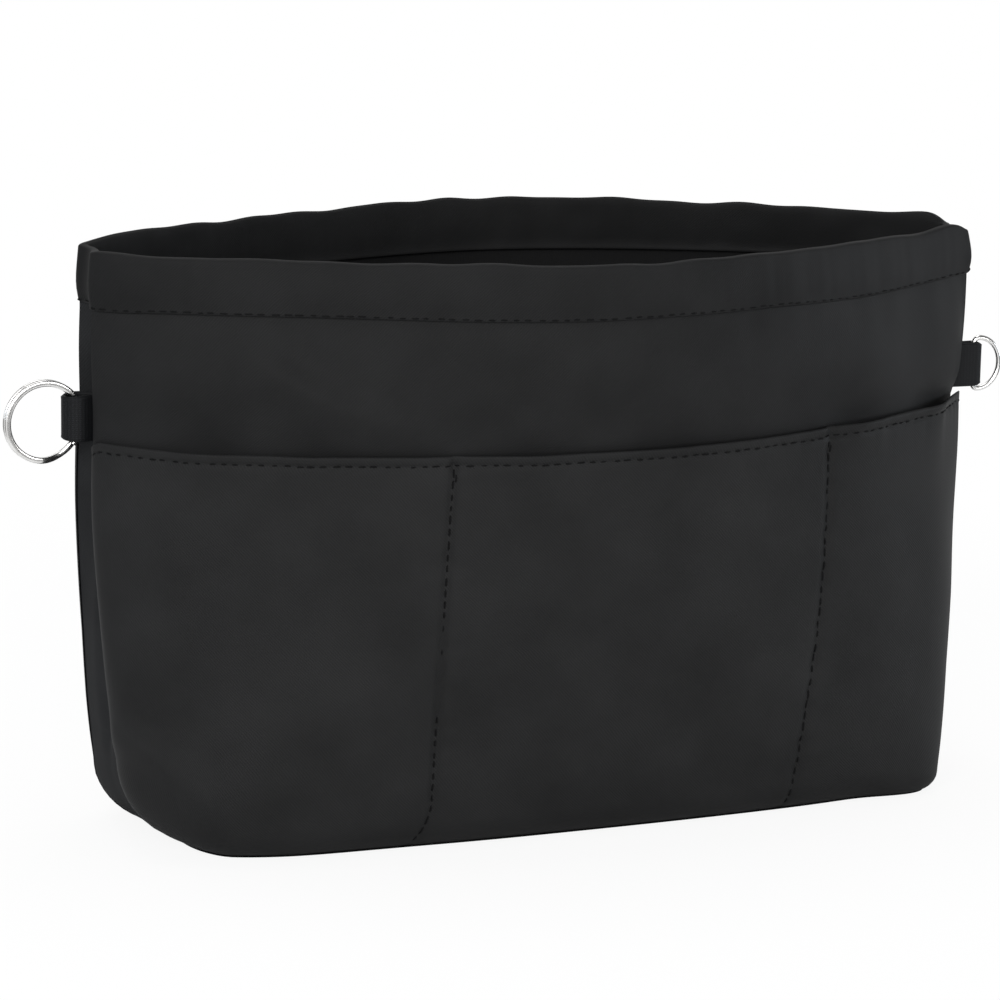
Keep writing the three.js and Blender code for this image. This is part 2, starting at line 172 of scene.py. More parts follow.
# Second row of stitches at a divider's top: its length, and its shift along the wall
BACK_TACK = 5.5
TACK_SHIFT = 0.0052

# Swell of the padding, and bulges of the front wall and its pockets: how far, and the middle and half width
# along X and in height
PAD_SWELL = 0.5
FRONT_BULGES = ((0.9, (-92, 18), (9, 13)), (0.3, (96, 15), (60, 60)))
POCKET_BULGES = ((-1.0, (-46, 22), (52, 26)),)
# Puckers below the band: how far, their level, their spacing and a seed
PUCKERS = {"front": (0.34, 0.5, 15, 3), "back": (0.32, 0.6, 14, 6)}
# Where the hem stands off the wall: middle, half width and how far
GAPES = (
    (-101, 10, 2.0), (-76, 6, 1.3), (-47, 6, 1.2), (-20, 8, 1.5), (20, 14, 0.6), (79, 9, 1.6), (110, 7, 2.0),
)
# Slanting crease above the left front pocket, as X and height, its rise and its widths above and below
CREASE = np.array([(-100, 142), (-91, 136.5), (-80, 129.5), (-69, 123), (-57, 119.5), (-42, 118)])
CREASE_RISE = 2.0
CREASE_WIDTHS = (4.6, 10.0)
CREASE_TAPER = 0.35
# Valley of a gusset: how deep, and its place from the front seam with its half width, as shares of the gusset
VALLEY = 1.9
VALLEY_AT = (0.27, 0.14)

# Web tabs and rings
WEB_WIDTH = 12.7
WEB_THICKNESS = 1.2
WEB_EDGE = 0.6
TAB_ROOT = -1.2
TAB_GAP = 0.05
KEY_TAB_REACH = 6.8
D_TAB_REACH = 11.6
KEY_LOOP_RADIUS = 2.8
D_LOOP_CLEARANCE = 0.3
RING_DIAMETER = 22.5
RING_WIRE = (1.7, 1.0)
RING_WIRE_POWER = 0.62
RING_PITCH = 1.45
RING_STEP = math.radians(40)
RING_SPLIT = math.radians(100)
RING_REST = math.radians(6.5)
RING_POINTS = 240
D_WIRE = 1.5
D_SIDE_CLEARANCE = 0.25
D_BOW = 6.4
D_BEND = 1.6
D_BAR_STUB = 0.2

# Camera at the photograph's angle
VIEW_AZIMUTH = math.radians(20.38)
VIEW_ELEVATION = math.radians(13.3)
VIEW_ROLL = math.radians(-1.14)
VIEW_DISTANCE = 1.244
VIEW_TARGET = Vector((0, 0, 0.080))
VIEW_LENS = 161.7
VIEW_SHIFT = (-0.03, 0.0189)

# Line from the front to the back of the studio, and the light along it as shares of the way: a white panel in
# front, dim sides and a white wall behind
STUDIO_AXIS = (0.34, 0.91, -0.23)
STUDIO_LIGHT = ((0.07, 1.0), (0.15, 0.28), (0.6, 0.12), (0.8, 0.85))
AMBIENT = 0.55
WHITE = (1, 1, 1, 1)
COOL = (0.86, 0.93, 1)

# Floor, in metres: its half width, how far it lies below the part, how white the camera sees it near the
# object, and the distances between which it turns all white
FLOOR_REACH = 2.5
FLOOR_DROP = 0.0002
FLOOR_WHITE = 0.9
FLOOR_SHADOW = (0.28, 0.42)


# Curves and lines

def smooth(value, low, high):
    """0 up to low, 1 from high on, and an S-curve between."""
    t = np.clip((value - low) / (high - low), 0, 1)
    return t * t * (3 - 2 * t)


def hump(value, middle, width):
    """A bell: 1 at the middle, and low beyond its half width."""
    return np.exp(-(((value - middle) / width) ** 2))


def ripple(value, length, seed):
    """A smooth uneven wave between about -1 and 1, with crests about length apart."""
    draw = np.random.default_rng(seed)
    total = np.zeros_like(value, dtype=float)
    for stretch in (0.62, 0.81, 1.0, 1.37, 1.9):
        total += np.sin(2 * np.pi * value / (length * stretch) + draw.uniform(0, 2 * np.pi))
    return total / 2.6


def mottle(x, y, length, seed):
    """Smooth uneven relief over a surface, between about -1 and 1."""
    draw = np.random.default_rng(seed)
    total = np.zeros(np.broadcast(x, y).shape)
    for _ in range(9):
        turn = draw.uniform(0, np.pi)
        wave = 2 * np.pi / (length * draw.uniform(0.7, 1.7))
        total += np.sin((x * math.cos(turn) + y * math.sin(turn)) * wave + draw.uniform(0, 2 * np.pi))
    return total / 4.2


def unit(vectors):
    return vectors / np.maximum(np.linalg.norm(vectors, axis=-1, keepdims=True), 1e-12)


def run_along(points, axis=0):
    """Distance along lines of points, from the first point of each."""
    steps = np.linalg.norm(np.diff(points, axis=axis), axis=-1)
    return np.concatenate([np.zeros_like(steps.take([0], axis)), np.cumsum(steps, axis)], axis)


def at_run(at, run, points):
    """Points at given distances along a line."""
    return np.stack([np.interp(at, run, points[:, k]) for k in range(3)], 1)


def spaced(low, high, step, marks=(), fine=(0.3, 0.7, 1.2, 1.9, 2.8)):
    """Values from low to high, a step apart, with finer ones beside each mark."""
    values = list(np.linspace(low, high, max(int(round((high - low) / step)), 1) + 1))
    for mark in marks:
        near = [mark] + [mark + side * offset for offset in fine for side in (-1, 1)]
        values = [v for v in values if abs(v - mark) > fine[-1] or v in (low, high)]
        values += [v for v in near if low < v < high]
    values.sort()
    return np.array([v for i, v in enumerate(values) if i == 0 or v - values[i - 1] > 1e-4])


# Outline of the bag

def through_waist(t, sizes):
    """The size at a share of the height, on a curve through those of the base, the waist and the mouth."""
    base = (1 - t) * (WAIST - t) / WAIST
    waist = t * (1 - t) / (WAIST * (1 - WAIST))
    mouth = t * (t - WAIST) / (1 - WAIST)
    return sizes[0] * base + sizes[1] * waist + sizes[2] * mouth


def along_wall(u):
    """Place along a long wall, from -1 to 1, for a share u of the wall."""
    return np.sin(np.pi * (u - 0.5))


def u_of(along):
    return 0.5 + np.arcsin(np.clip(along, -1, 1)) / np.pi


def plan(wall, u, z):
    """Plan point of a wall's outer face; u runs from 0 to 1 along it, anticlockwise seen from above."""
    t = z / HEIGHT
    half_length = through_waist(t, LENGTHS) / 2 - PINCH * hump(t, *PINCH_AT)
    half_gusset = through_waist(t, GUSSETS) / 2
    shift = np.interp(t, *SWAY)
    if wall in GUSSET_WALLS:
        side = 1 if wall == "right" else -1
        across = 2 * u - 1
        fold = GUSSET_FOLD * smooth(t, *FOLD_HEIGHTS) * (1 - FOLD_EASED * smooth(t, *EASE_HEIGHTS))
        end = half_length - fold * (1 - across**2)
        return np.stack([shift + side * end, side * half_gusset * across], -1)
    side = 1 if wall == "back" else -1
    along = along_wall(u)
    left, right = MOUTH_BOW[wall]
    on_left = -side * along < 0
    mouth_flatness, mouth_power = (np.where(on_left, left[i], right[i]) for i in (0, 1))
    flatness = BASE_FLATNESS + (mouth_flatness - BASE_FLATNESS) * t
    base_power = np.where(on_left, *FRONT_CORNER_POWERS) if wall == "front" else BACK_CORNER_POWER
    power = base_power + (mouth_power - base_power) * t**CORNER_EASE
    bow = np.maximum(1 - np.abs(along) ** flatness, 0) ** power
    half_depth = through_waist(t, DEPTHS) / 2
    if wall == "front":
        drawn_in = smooth(along, -0.3, 0.6) * (1 - smooth(along, 0.7, 0.97))
        half_depth = half_depth - RIGHT_TAPER * drawn_in * (1 - smooth(t, 0, 0.5))
        half_depth = half_depth + LEFT_SWELL * hump(along, -0.72, 0.22) * (1 - smooth(t, 0, 0.4))
    across = side * (half_gusset + (half_depth - half_gusset) * bow)
    return np.stack([shift - side * half_length * along, across], -1)


def edge_radius(wall, u):
    """Rounding of the lower edge along a wall."""
    back, front = LEFT_EDGE_RADII
    if wall == "left":
        return back + (front - back) * smooth(u, 0, 1)
    if wall == "right":
        return np.full_like(u, RIGHT_EDGE_RADIUS)
    along = along_wall(u) * (1 if wall == "front" else -1)
    end = front if wall == "front" else back
    left = (end - EDGE_RADIUS) * smooth(-along, 0.8, 1)
    right = (RIGHT_EDGE_RADIUS - EDGE_RADIUS) * smooth(along, 0.75, 1)
    return EDGE_RADIUS + left + right


def heading(wall, u, z):
    """Unit direction along a wall."""
    return unit(plan(wall, np.minimum(u + PROBE, 1), z) - plan(wall, np.maximum(u - PROBE, 0), z))


def half_turn(arriving, leaving):
    """Tangent of half the angle by which the outline turns at a seam."""
    cross = arriving[..., 0] * leaving[..., 1] - arriving[..., 1] * leaving[..., 0]
    return np.tan(np.arctan2(cross, (arriving * leaving).sum(-1)) / 2)


def from_seams(wall, u, z):
    """Distances in plan to the seams at the start and at the end of a wall."""
    here = plan(wall, u, z)
    return (np.linalg.norm(here - plan(wall, end, z), axis=-1) for end in (0.0, 1.0))


def place(wall, u, height, depth, tucked=True):
    """Points of a wall: depth below its outer face, height along the cloth, which bends under at the foot."""
    u, height, depth = np.broadcast_arrays(*(np.asarray(a, float) for a in (u, height, depth)))
    behind_pad = np.clip((depth - FOAM[0]) / (FOAM[1] - FOAM[0]), 0, 1)
    depth = depth - CLOSE_UP * behind_pad * smooth(height, *CLOSING_HEIGHTS)
    radius = edge_radius(wall, u)
    fade = 1 - smooth(height, EDGE_RADIUS, EDGE_FADE)
    z = np.where(height > EDGE_RADIUS, height + (radius - EDGE_RADIUS) * fade, radius)
    further = 1 + EDGE_TURN * np.maximum(radius - EDGE_RADIUS, 0)
    angle = np.maximum(EDGE_RADIUS - height, 0) / EDGE_RADIUS * further
    inset = np.where(angle > 0, radius - (radius - depth) * np.cos(angle), depth)
    up = np.where(angle > 0, radius - (radius - depth) * np.sin(angle), z)
    here = plan(wall, u, z)
    tangent = heading(wall, u, z)
    inward = np.stack([-tangent[..., 1], tangent[..., 0]], -1)
    order = WALLS.index(wall)
    before = WALLS[order - 1]
    after = WALLS[(order + 1) % len(WALLS)]
    start_turn = half_turn(heading(before, 1.0, z), heading(wall, 0.0, z))
    end_turn = half_turn(heading(wall, 1.0, z), heading(after, 0.0, z))
    near_start, near_end = (np.maximum(1 - away / MITRE_BLEND, 0) for away in from_seams(wall, u, z))
    lean = start_turn * near_start - end_turn * near_end
    flat = here + inward * inset[..., None] + tangent * (lean * inset)[..., None]
    if tucked:
        flat[..., 0] -= RIGHT_TUCK * hump(z, *RIGHT_TUCK_AT) * smooth(here[..., 0], *RIGHT_TUCK_FROM)
    return np.concatenate([flat, up[..., None]], -1)


def outward(wall, u, height):
    """Unit normals of a wall's outer face."""
    step = 0.5
    ahead = place(wall, np.minimum(u + PROBE, 1), height, 0)
    behind = place(wall, np.maximum(u - PROBE, 0), height, 0)
    rise = place(wall, u, height + step, 0) - place(wall, u, height - step, 0)
    return unit(np.cross(ahead - behind, rise))


def seam_distance(wall, u, height):
    """Distance in plan to the nearer seam of the wall."""
    return np.minimum(*from_seams(wall, u, np.maximum(height, EDGE_RADIUS)))


def settled(depth, edge, height):
    """Depths with what stands out of the wall drawn in at its seams and at its lower edge."""
    at_seam = 0.08 + 0.92 * (1 - np.exp(-np.maximum(edge, 0) / 5))
    at_foot = 0.12 + 0.88 * smooth(height, EDGE_RADIUS * (1 - SHELL_TUCK), EDGE_RADIUS + 9)
    return np.where(depth < 0, depth * at_seam * at_foot, depth)


# Mesh making

def linked(name, data):
    made = bpy.data.objects.new(name, data)
    bpy.context.scene.collection.objects.link(made)
    return made


def add_object(name, vertices, faces, material, weave=None, sharp=35):
    mesh = bpy.data.meshes.new(name)
    mesh.from_pydata((np.asarray(vertices, float) * MM).tolist(), [], faces)
    if weave is not None:
        layer = mesh.uv_layers.new(name="weave")
        corners = np.zeros(len(mesh.loops), np.int32)
        mesh.loops.foreach_get("vertex_index", corners)
        layer.uv.foreach_set("vector", (np.asarray(weave, np.float32)[corners] * MM).ravel())
    mesh.shade_smooth()
    mesh.set_sharp_from_angle(angle=math.radians(sharp))
    mesh.materials.append(material)
    return linked(name, mesh)


def neighbours(count):
    """Each place of a closed ring with the next one."""
    return [(k, (k + 1) % count) for k in range(count)]


def shifted(faces, by):
    return [[i + by for i in face] for face in faces]


def tube_faces(rings, sides):
    """Faces of a closed tube made of rings of points."""
    faces = []
    for a in range(0, (rings - 1) * sides, sides):
        faces += [[a + k, a + n, a + sides + n, a + sides + k] for k, n in neighbours(sides)]
    cap = list(range(sides))
    return faces + [cap[::-1]] + shifted([cap], (rings - 1) * sides)


def cloth(name, outer, inner, weave, material):
    """A closed sheet between two grids of points, with rounded edges."""
    rows, columns = outer.shape[:2]
    count = rows * columns
    index = np.arange(count).reshape(rows, columns)
    quads = np.stack([index[:-1, :-1], index[:-1, 1:], index[1:, 1:], index[1:, :-1]], -1).reshape(-1, 4)
    faces = quads.tolist() + (quads[:, ::-1] + count).tolist()
    ring = np.concatenate([index[0, :-1], index[:-1, -1], index[-1, :0:-1], index[:0:-1, 0]])
    for k, n in neighbours(len(ring)):
        faces.append([2 * count + k, 2 * count + n, ring[n], ring[k]])
        faces.append([ring[k] + count, ring[n] + count, 2 * count + n, 2 * count + k])
    inside = index[np.clip(ring // columns, 1, rows - 2), np.clip(ring % columns, 1, columns - 2)]
    outer = outer.reshape(-1, 3)
    inner = inner.reshape(-1, 3)
    weave = weave.reshape(-1, 2)
    half = np.linalg.norm(outer[ring] - inner[ring], axis=1, keepdims=True) / 2
    edge = (outer[ring] + inner[ring]) / 2 + unit(outer[ring] - outer[inside]) * half * 0.7
    weave = np.concatenate([weave, weave, weave[ring]])
    return add_object(name, np.concatenate([outer, inner, edge]), faces, material, weave, sharp=80)


def weave_map(points, heights):
    """Distance along each row from its middle, and height along the cloth."""
    run = run_along(points, axis=1)
    run -= run[:, -1:] / 2
    return np.stack([run, np.broadcast_to(heights[:, None], run.shape)], -1)


def trimmed(points):
    """Both ends of each row drawn back from the seams."""
    made = points.copy()
    made[:, 0] += unit(points[:, 1] - points[:, 0]) * SEAM_GAP / 2
    made[:, -1] += unit(points[:, -2] - points[:, -1]) * SEAM_GAP / 2
    return made


def on_layer(wall, u, height, depths, lift, thicken, droop):
    """The two faces of a layer: lift moves both out, thicken the first one only, and droop lowers both."""
    x = plan(wall, u, np.maximum(height, EDGE_RADIUS))[..., 0]
    edge = seam_distance(wall, u, height)
    raised = lift(x, height, u, edge) if lift else 0.0
    extra = thicken(x, height, u, edge) if thicken else 0.0
    if droop:
        height = height - droop(u, height)
    faces = []
    for depth, more in zip(depths, (extra, 0.0)):
        faces.append(place(wall, u, height, settled(depth - raised - more, edge, height), depths[0] >= 0))
    return faces


def wall_cloth(name, wall, u, heights, depths, material, lift=None, thicken=None, droop=None):
    """A layer of a wall as a closed sheet."""
    grid = np.meshgrid(u, heights)
    outer, inner = (trimmed(face) for face in on_layer(wall, *grid, depths, lift, thicken, droop))
    made = cloth(name, outer, inner, weave_map(outer, heights), material)
    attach(made, "bag")
    return made


def declare_sheet(piece):
    """Works out the flat size of a sheet, its longest row by its height along the cloth, and its area; keeps
    neither.
    """
    layer = piece.data.uv_layers["weave"].uv
    spots = np.zeros(len(layer) * 2, np.float32)
    layer.foreach_get("vector", spots)
    size = np.ptp(spots.reshape(-1, 2), axis=0)
    area = sum(face.area for face in piece.data.polygons) / 2
    area = min(area, float(size[0] * size[1]))


# Materials

def feed(tree, node, inputs):
    """Gives a node's inputs their values, or links them to outputs of other nodes."""
    for socket, value in inputs.items():
        if isinstance(value, bpy.types.NodeSocket):
            tree.links.new(value, node.inputs[socket])
        else:
            node.inputs[socket].default_value = value


def add_node(tree, kind, inputs=None, **settings):
    """Outputs of a new node."""
    node = tree.nodes.new(f"ShaderNode{kind}")
    for key, value in settings.items():
        setattr(node, key, value)
    feed(tree, node, inputs or {})
    return node.outputs


def new_material(name):
    material = bpy.data.materials.new(name)
    material.use_nodes = True
    tree = material.node_tree
    return material, tree, tree.nodes["Principled BSDF"]


def shades(colour, low, high, start=0.3, end=0.7):
    """Stops for a darker and a lighter shade of a colour."""
    return (start, [c * low for c in colour]), (end, [c * high for c in colour])


def tinted(tree, share, *stops):
    """A colour by a share, from stops that each have a place and a colour."""
    ramp = tree.nodes.new("ShaderNodeValToRGB")
    feed(tree, ramp, {"Fac": share})
    for at, _ in stops[1:-1]:
        ramp.color_ramp.elements.new(at)
    for stop, (at, colour) in zip(ramp.color_ramp.elements, stops):
        stop.position = at
        stop.color = (*colour, 1)
    return ramp.outputs["Color"]


def noise(tree, where, scale, detail):
    return add_node(tree, "TexNoise", {"Vector": where, "Scale": scale, "Detail": detail})["Fac"]


def ribs(tree, where, direction, pitch, distortion, detail):
    """Close parallel ribs, a pitch in millimetres apart."""
    scale = math.pi / 10 / (pitch * MM)
    inputs = {"Vector": where, "Scale": scale, "Distortion": distortion, "Detail": detail}
    return add_node(tree, "TexWave", inputs, bands_direction=direction)


def bumped(tree, height, strength, depth):
    """A normal from a height, with its depth in millimetres."""
    return add_node(tree, "Bump", {"Height": height, "Strength": strength, "Distance": depth * MM})["Normal"]


def ranged(tree, value, low=0.0, high=1.0, start=0.0, end=1.0):
    """A value from start to end, spread from low to high."""
    inputs = {"Value": value, "From Min": start, "From Max": end, "To Min": low, "To Max": high}
    return add_node(tree, "MapRange", inputs)["Result"]


def joined(tree, operation, *values):
    return add_node(tree, "Math", dict(enumerate(values)), operation=operation)[0]


def twill(name, colour, roughness=0.55, specular=0.06, pitch=0.62, lean=45):
    """Woven cloth with fine slanting ribs, uneven dye and a soft gloss."""
    material, tree, shader = new_material(name)
    weave = add_node(tree, "UVMap", uv_map="weave")["UV"]
    turned = add_node(tree, "Mapping", {"Vector": weave, "Rotation": (0, 0, math.radians(lean))})["Vector"]
    rib = ribs(tree, turned, "X", pitch, 0.6, 1)
    yarns = noise(tree, weave, 1.6 / (pitch * MM), 3)
    woven = joined(tree, "MULTIPLY_ADD", yarns, 0.7, rib["Fac"])
    blotches = noise(tree, weave, 34, 4)
    dyed = {"Factor": 0.24, "A": tinted(tree, blotches, *shades(colour, 0.8, 1.2)), "B": rib["Color"]}
    feed(tree, shader, {
        "Base Color": add_node(tree, "Mix", dyed, data_type="RGBA", blend_type="MULTIPLY")["Result"],
        "Normal": bumped(tree, woven, 0.55, 0.042),
        "Roughness": ranged(tree, blotches, roughness - 0.06, roughness + 0.08),
        "Specular IOR Level": specular,
    })
    return material


def webbing_material(name, colour):
    """Flat woven tape with close ribs across and yarns along."""
    material, tree, shader = new_material(name)
    weave = add_node(tree, "UVMap", uv_map="weave")["UV"]
    across = ribs(tree, weave, "X", 0.9, 1.2, 2)
    along = ribs(tree, weave, "Y", 0.55, 0.8, 2)
    woven = joined(tree, "MULTIPLY", across["Fac"], along["Fac"])
    feed(tree, shader, {
        "Base Color": tinted(tree, woven, *shades(colour, 0.6, 1.25, 0.0, 0.9)),
        "Normal": bumped(tree, woven, 0.6, 0.08),
        "Roughness": 0.62,
        "Specular IOR Level": 0.15,
    })
    return material


def grained(name, colour, roughness, scale, depth, specular, spread=0.2):
    """A plain solid with fine grain: thread, foam or board."""
    material, tree, shader = new_material(name)
    grain = noise(tree, add_node(tree, "TexCoord")["Object"], scale, 5)
    feed(tree, shader, {
        "Base Color": tinted(tree, grain, *shades(colour, 1 - spread, 1 + spread)),
        "Normal": bumped(tree, grain, 0.6, depth),
        "Roughness": roughness,
        "Specular IOR Level": specular,
    })
    return material


def plated_steel(name):
    """Bright nickel plating with a faint handling haze."""
    material, tree, shader = new_material(name)
    haze = noise(tree, add_node(tree, "TexCoord")["Object"], 260, 4)
    feed(tree, shader, {
        "Base Color": tinted(tree, haze, (0.3, (0.7, 0.695, 0.68)), (0.7, (0.84, 0.835, 0.825))),
        "Roughness": ranged(tree, haze, 0.12, 0.22),
        "Metallic": 1,
    })
    return material


SHELL_TWILL = twill("shell_twill", (0.0134, 0.0135, 0.0138))
# The gussets use the shell's twill painted lighter and bluer: painted light from the lamps falling on these
# side walls.
GUSSET_LIT_TWILL = twill("gusset_painted_light_twill", (0.0205, 0.0210, 0.0220), roughness=0.7, specular=0.02)
# The base cloth is real, but painted near black, far darker than the walls: its strip past the walls is
# painted contact shadow along the bottom edge.
BASE_SHADOW_TWILL = twill("base_painted_shadow_twill", (0.0035, 0.0035, 0.0037), roughness=0.7, specular=0.03)
POCKET_TWILL = twill("pocket_twill", (0.0156, 0.0157, 0.016), lean=135)
BAND_TWILL = twill("band_twill", (0.0124, 0.0125, 0.0128))
LINING_CLOTH = twill("lining_cloth", (0.0072, 0.0072, 0.0075), roughness=0.6, specular=0.1, pitch=0.5, lean=0)
WEBBING = webbing_material("black_webbing", (0.0072, 0.0078, 0.009))
# The thread is black, and is painted darker than the cloth: painted shade of its needle holes and grooves.
STITCH_THREAD_AND_SHADE = grained("thread_black_with_hole_shade", (0.0042, 0.0042, 0.0044), 0.8, 2500, 0.03, 0.1)
FOAM_WHITE = grained("foam", (0.66, 0.65, 0.61), 0.95, 900, 0.2, 0.2, 0.1)
GREY_BOARD = grained("grey_board", (0.19, 0.175, 0.15), 0.9, 600, 0.05, 0.2)
NICKEL = plated_steel("nickel_plate")


# Relief of the cloth, from X, the height, the share of the wall and the distance to its nearer seam

def divider_along(wall, k, height):
    """Place along a wall at which a pocket divider runs, at a height along the cloth."""
    top, bottom = DIVIDERS[wall][k]
    share = np.clip(height / HEM_STITCH, 0, 1)
    drift = DIVIDER_DRIFTS[wall][k] / (LENGTHS[0] / 2) * smooth(DRIFT_HEIGHT - height, 0, DRIFT_HEIGHT)
    return bottom + (top - bottom) * share + drift


def beside_dividers(wall, u, height):
    """Distances along the cloth from each divider of a wall."""
    half = through_waist(np.maximum(height, EDGE_RADIUS) / HEIGHT, LENGTHS) / 2
    return [(along_wall(u) - divider_along(wall, k, height)) * half for k in range(len(DIVIDERS[wall]))]


def seam_puff(edge, reach=4.0):
    """The padded wall stands proud of its seams."""
    return 1 - np.exp(-edge / reach)


def bulges(x, height, spots):
    return sum(out * hump(x, *at) * hump(height, *level) for out, at, level in spots)


def uneven(x, height, size, length, seed):
    """Slight unevenness of a whole wall, flat at its foot."""
    return size * (1 + mottle(x, height * 0.7, length, seed)) * smooth(height, 4, 30)


def front_relief(x, height):
    return PAD_SWELL + bulges(x, height, FRONT_BULGES) + uneven(x, height, 0.3, 60, 11)


def back_relief(x, height):
    return PAD_SWELL + uneven(x, height, 0.4, 55, 12)


def crease(x, height):
    """1 on the crease, fading over one width above it, another below it, and towards its ends."""
    best = np.full(np.broadcast(x, height).shape, np.inf)
    share = np.zeros_like(best)
    reach = np.zeros_like(best)
    spans = len(CREASE) - 1
    for i in range(spans):
        a = CREASE[i]
        d = CREASE[i + 1] - a
        t = np.clip(((x - a[0]) * d[0] + (height - a[1]) * d[1]) / (d @ d), 0, 1)
        gap = np.hypot(x - a[0] - t * d[0], height - a[1] - t * d[1])
        above = d[0] * (height - a[1]) - d[1] * (x - a[0]) >= 0
        share = np.where(gap < best, (i + t) / spans, share)
        reach = np.where(gap < best, np.where(above, *CREASE_WIDTHS), reach)
        best = np.minimum(best, gap)
    return hump(best, 0, reach) * smooth(share, 0, CREASE_TAPER) * smooth(1 - share, 0, CREASE_TAPER)


def gape(x):
    return sum(size * hump(x, middle, width) for middle, width, size in GAPES)


def hem_hollow(x, height, u, edge):
    """The wall draws in behind the hem where the hem stands off."""
    return -0.65 * np.minimum(gape(x), 2.1) * hump(height, HEM_TOP - 1, 7)


def panel_lift(wall, padding, folds, x, height, edge):
    """Padding drawn in at the band and the seams, puckers below the band, and folds above the hem."""
    below_band = np.maximum(BAND_EDGE - height, 0)
    pull = 1 - np.exp(-below_band / 4)
    size, level, spacing, seed = PUCKERS[wall]
    pucker = size * (level + ripple(x, spacing, seed)) * np.exp(-below_band / 9) * pull
    above_hem = smooth(height, HEM_TOP - 4, HEM_TOP + 9)
    return (padding * pull + (pucker + folds) * above_hem) * seam_puff(edge)


def front_panel_lift(x, height, u, edge):
    dents = 0.6 * mottle(x, height, 34, 23) * smooth(x, 60, 85) * smooth(height, 108, 122)
    swell = 0.7 * hump(height, HEM_TOP + 17, 9) * (1 + 0.5 * ripple(x, 60, 4))
    folds = CREASE_RISE * crease(x, height) + dents + swell
    lift = panel_lift("front", front_relief(x, height), folds, x, height, edge)
    return lift + hem_hollow(x, height, u, edge)


def back_panel_lift(x, height, u, edge):
    return panel_lift("back", back_relief(x, height), 0.0, x, height, edge)


def slack_between(wall, u, height, reach):
    """0 on the dividers of a wall's pockets, and 1 away from them."""
    return np.prod([1 - hump(away, 0, reach) for away in beside_dividers(wall, u, height)], axis=0)


def slack_cloth(slack, fullness, standing_off, height):
    """How far a pocket stands out where it is slack, most of all at its hem."""
    at_hem = np.exp(-np.maximum(HEM_TOP - height, 0) / 9)
    return fullness * slack * smooth(height, -8, 26) + (0.25 + standing_off * slack) * at_hem


def front_pocket_lift(x, height, u, edge):
    slack = slack_between("front", u, height, 8)
    groove = np.zeros_like(x)
    for k, away in enumerate(beside_dividers("front", u, height)):
        groove += hump(away, 0, 1.3) * (1 + 0.25 * ripple(height, 6, 70 + k))
        groove += 0.22 * hump(away, 2.5, 4) * ripple(height, 9, 80 + k)
    lift = 0.6 + front_relief(x, height) + bulges(x, height, POCKET_BULGES)
    lift += slack_cloth(slack, 0.75, gape(x), height) + 0.3 * mottle(x, height, 26, 31) * slack
    lift -= 1.2 * smooth(-x, 110, 123) * hump(height, 106, 16)
    lift -= (1.0 + 1.2 * smooth(height, 40, 95)) * smooth(x, 100, 125) ** 2
    pucker = (0.16 * ripple(x, 8, 5) + 0.07 * ripple(x, 3.3, 15)) * np.exp(-np.abs(height - HEM_STITCH) / 4)
    sewn = 0.95 * groove + 0.35 * hump(height, HEM_STITCH, 0.9) * (1 + 0.4 * ripple(x, 5, 16))
    return lift + pucker - sewn


def back_pocket_lift(x, height, u, edge):
    slack = slack_between("back", u, height, 7)
    groove = sum(hump(away, 0, 1.0) for away in beside_dividers("back", u, height))
    standing_off = np.maximum(0.54 * (1 + ripple(x, 40, 9)), 0)
    sewn = 0.5 * groove + 0.2 * hump(height, HEM_STITCH, 0.8)
    return 0.5 + back_relief(x, height) + slack_cloth(slack, 0.7, standing_off, height) - sewn


def hem_fold(x, height, u, edge):
    """The hem is turned over, so it is thicker above its stitches."""
    return 0.35 * smooth(height, HEM_STITCH + 0.2, HEM_STITCH + 1.0)


def hem_ends(u, height):
    """The hem sinks and rounds off where it runs into the seams."""
    near_end = smooth(u, 0.945, 1) ** 2 + 1.3 * smooth(1 - u, 0.93, 1)
    return 1.7 * near_end * smooth(height, HEM_TOP - 12, HEM_TOP)


def gusset_valley(x, height, u, edge):
    """The gusset draws in a little behind its front seam."""
    from_front = np.where(x < 0, 1 - u, u)
    return -VALLEY * hump(from_front, *VALLEY_AT) * smooth(height, 4, 24) * (1 - smooth(height, 120, 140))


def gusset_lift(x, height, u, edge):
    crush = 0.4 * ripple(height, 15, 8) * hump(height, 8, 16)
    return (0.3 + np.maximum(crush, -0.2)) * seam_puff(edge, 3.0) + gusset_valley(x, height, u, edge)


def lining_lift(x, height, u, edge):
    return -0.08 * (1 + mottle(x, height, 55, 41))


PANEL_LIFTS = {"front": front_panel_lift, "back": back_panel_lift}
POCKET_LIFTS = {"front": front_pocket_lift, "back": back_pocket_lift}
FOAM_LIFTS = {"front": hem_hollow, "back": None}


# Walls

LONG_STEPS = {"front": 1 / 200, "back": 1 / 180}
BESIDE_DIVIDER = (0.0012, 0.0026, 0.0045, 0.007)
COARSE_U = np.linspace(0, 1, 97)
GUSSET_U = np.linspace(0, 1, 33)
shell_bottom = EDGE_RADIUS * (1 - SHELL_TUCK)
foam_bottom = EDGE_RADIUS * (1 - FOAM_TUCK)
lining_bottom = EDGE_RADIUS * (1 - LINING_TUCK)
PANEL_ROWS = spaced(shell_bottom, WALL_TOP, 1.6, [BAND_EDGE])
POCKET_ROWS = spaced(shell_bottom + 0.3, HEM_TOP, 1.6, [HEM_STITCH])
FOAM_ROWS = spaced(foam_bottom, PAD_TOP, 4)
LINING_ROWS = spaced(lining_bottom, WALL_TOP - 0.2, 2.5)
INNER_POCKET_ROWS = spaced(EDGE_RADIUS, INNER_POCKET_TOP, 2.5, [INNER_HEM_STITCH])
